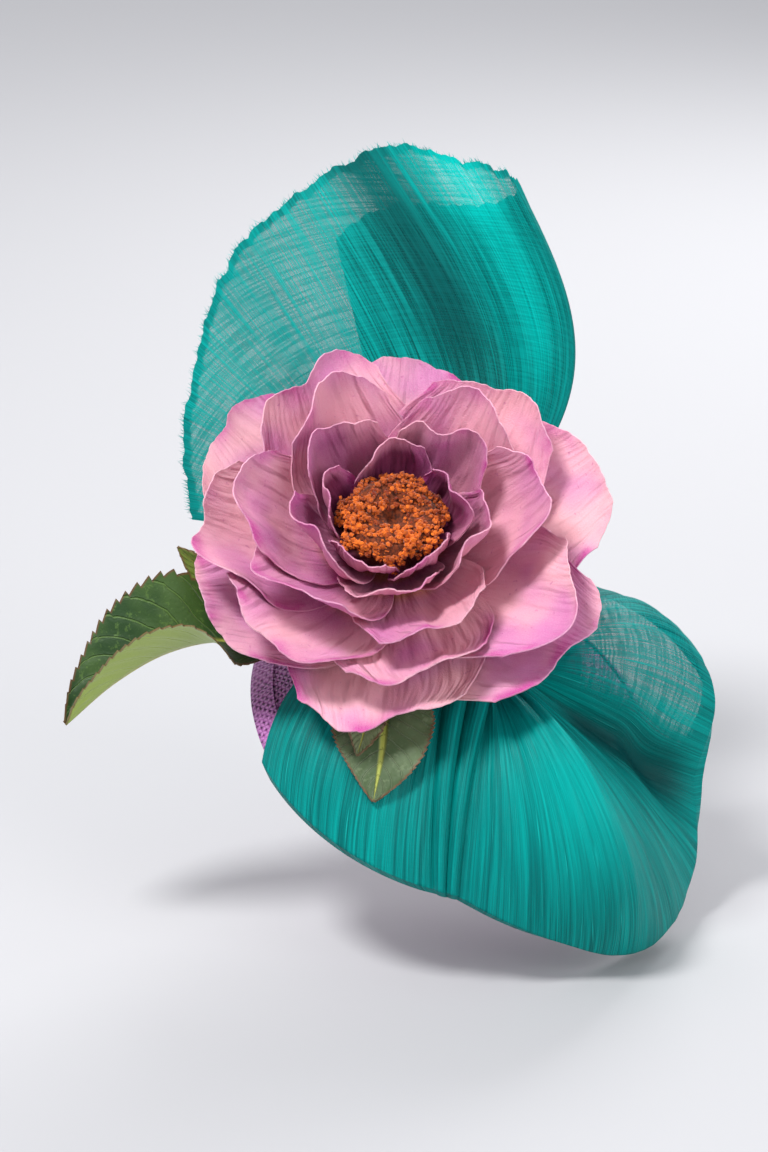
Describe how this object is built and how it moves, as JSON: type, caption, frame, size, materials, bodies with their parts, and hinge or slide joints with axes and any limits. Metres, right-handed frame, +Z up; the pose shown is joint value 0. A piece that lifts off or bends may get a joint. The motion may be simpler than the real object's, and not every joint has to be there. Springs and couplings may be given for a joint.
{
  "type": "fascinator headpiece",
  "caption": "Fascinator: a domed sinamay base with pleated silk abaca wraps, lobe and fin, a large fabric rose with separate petals, leaf sprays and a wire comb.",
  "frame": {"origin": "middle of the underside of the domed base, where it sits on the head", "axes": "+Z up as worn, -Y towards the front of the view, +X to the side with the big lobe"},
  "size_m": [0.1986, 0.1464, 0.2214],
  "materials": {
    "silk_abaca": "sheer slubbed silk abaca with a satin sheen",
    "sinamay": "open coarse straw weave, stiffened",
    "petal_cloth": "matte dyed polyester satin, pale cut edges",
    "stamens": "crumbly flocked clusters",
    "stem_plastic": "matte moulded",
    "stem_tape": "waxed wrapping tape over wire",
    "leaf_bright": "coated cloth, satin",
    "leaf_grey": "coated cloth, matte",
    "thread": "matte sewing thread",
    "wire": "drawn steel wire"
  },
  "bodies": {
    "headpiece": {"base_inner_layer": "sinamay", "base_outer_layer": "sinamay", "rim_wire": "wire", "rim_binding": "sinamay", "comb_lashing_1": "thread", "comb_lashing_2": "thread", "comb_lashing_3": "thread", "comb_lashing_4": "thread", "left_wrap": "silk_abaca", "pleat_inner": "silk_abaca", "pleat_outer": "silk_abaca", "right_lobe": "silk_abaca", "fin": "silk_abaca", "fin_binding": "thread", "flower_stem": "stem_tape", "stem_binding": "thread", "calyx": "stem_plastic", "receptacle": "stem_plastic", "stamen_cluster": "stamens", "petal_ring1_1": "petal_cloth", "petal_ring1_2": "petal_cloth", "petal_ring1_3": "petal_cloth", "petal_ring1_4": "petal_cloth", "petal_ring1_5": "petal_cloth", "petal_ring2_1": "petal_cloth", "petal_ring2_2": "petal_cloth", "petal_ring2_3": "petal_cloth", "petal_ring2_4": "petal_cloth", "petal_ring2_5": "petal_cloth", "petal_ring3_1": "petal_cloth", "petal_ring3_2": "petal_cloth", "petal_ring3_3": "petal_cloth", "petal_ring3_4": "petal_cloth", "petal_ring3_5": "petal_cloth", "petal_ring3_6": "petal_cloth", "petal_ring4_1": "petal_cloth", "petal_ring4_2": "petal_cloth", "petal_ring4_3": "petal_cloth", "petal_ring4_4": "petal_cloth", "petal_ring4_5": "petal_cloth", "petal_ring4_6": "petal_cloth", "petal_ring5_1": "petal_cloth", "petal_ring5_2": "petal_cloth", "petal_ring5_3": "petal_cloth", "petal_ring5_4": "petal_cloth", "petal_ring5_5": "petal_cloth", "petal_ring5_6": "petal_cloth", "left_stalk_binding": "thread", "front_stalk_binding": "thread"},
    "comb": {"wire_comb": "wire"},
    "left_spray": {"left_stalk": "stem_tape", "left_leaf_large": "leaf_bright", "left_leaf_small": "leaf_bright"},
    "front_spray": {"front_stalk": "stem_tape", "front_leaf_large": "leaf_grey", "front_leaf_small": "leaf_grey"}
  },
  "joints": [
    {"name": "comb_rock", "type": "hinge", "parent": "headpiece", "child": "comb", "pos_m": [-0.02574, -0.03626, -0.03768], "axis": [-0.8021, 0.3093, 0.5109], "range_deg": [0, 32]},
    {"name": "left_leaf_swing", "type": "hinge", "parent": "headpiece", "child": "left_spray", "pos_m": [-0.05045, -0.00145, 0.00749], "axis": [0, -0.6428, 0.766], "range_deg": [-3, 8]},
    {"name": "front_leaf_swing", "type": "hinge", "parent": "headpiece", "child": "front_spray", "pos_m": [-0.02079, -0.0073, 0.00834], "axis": [0.0284, -0.4423, 0.8964], "range_deg": [-6, 6]}
  ]
}
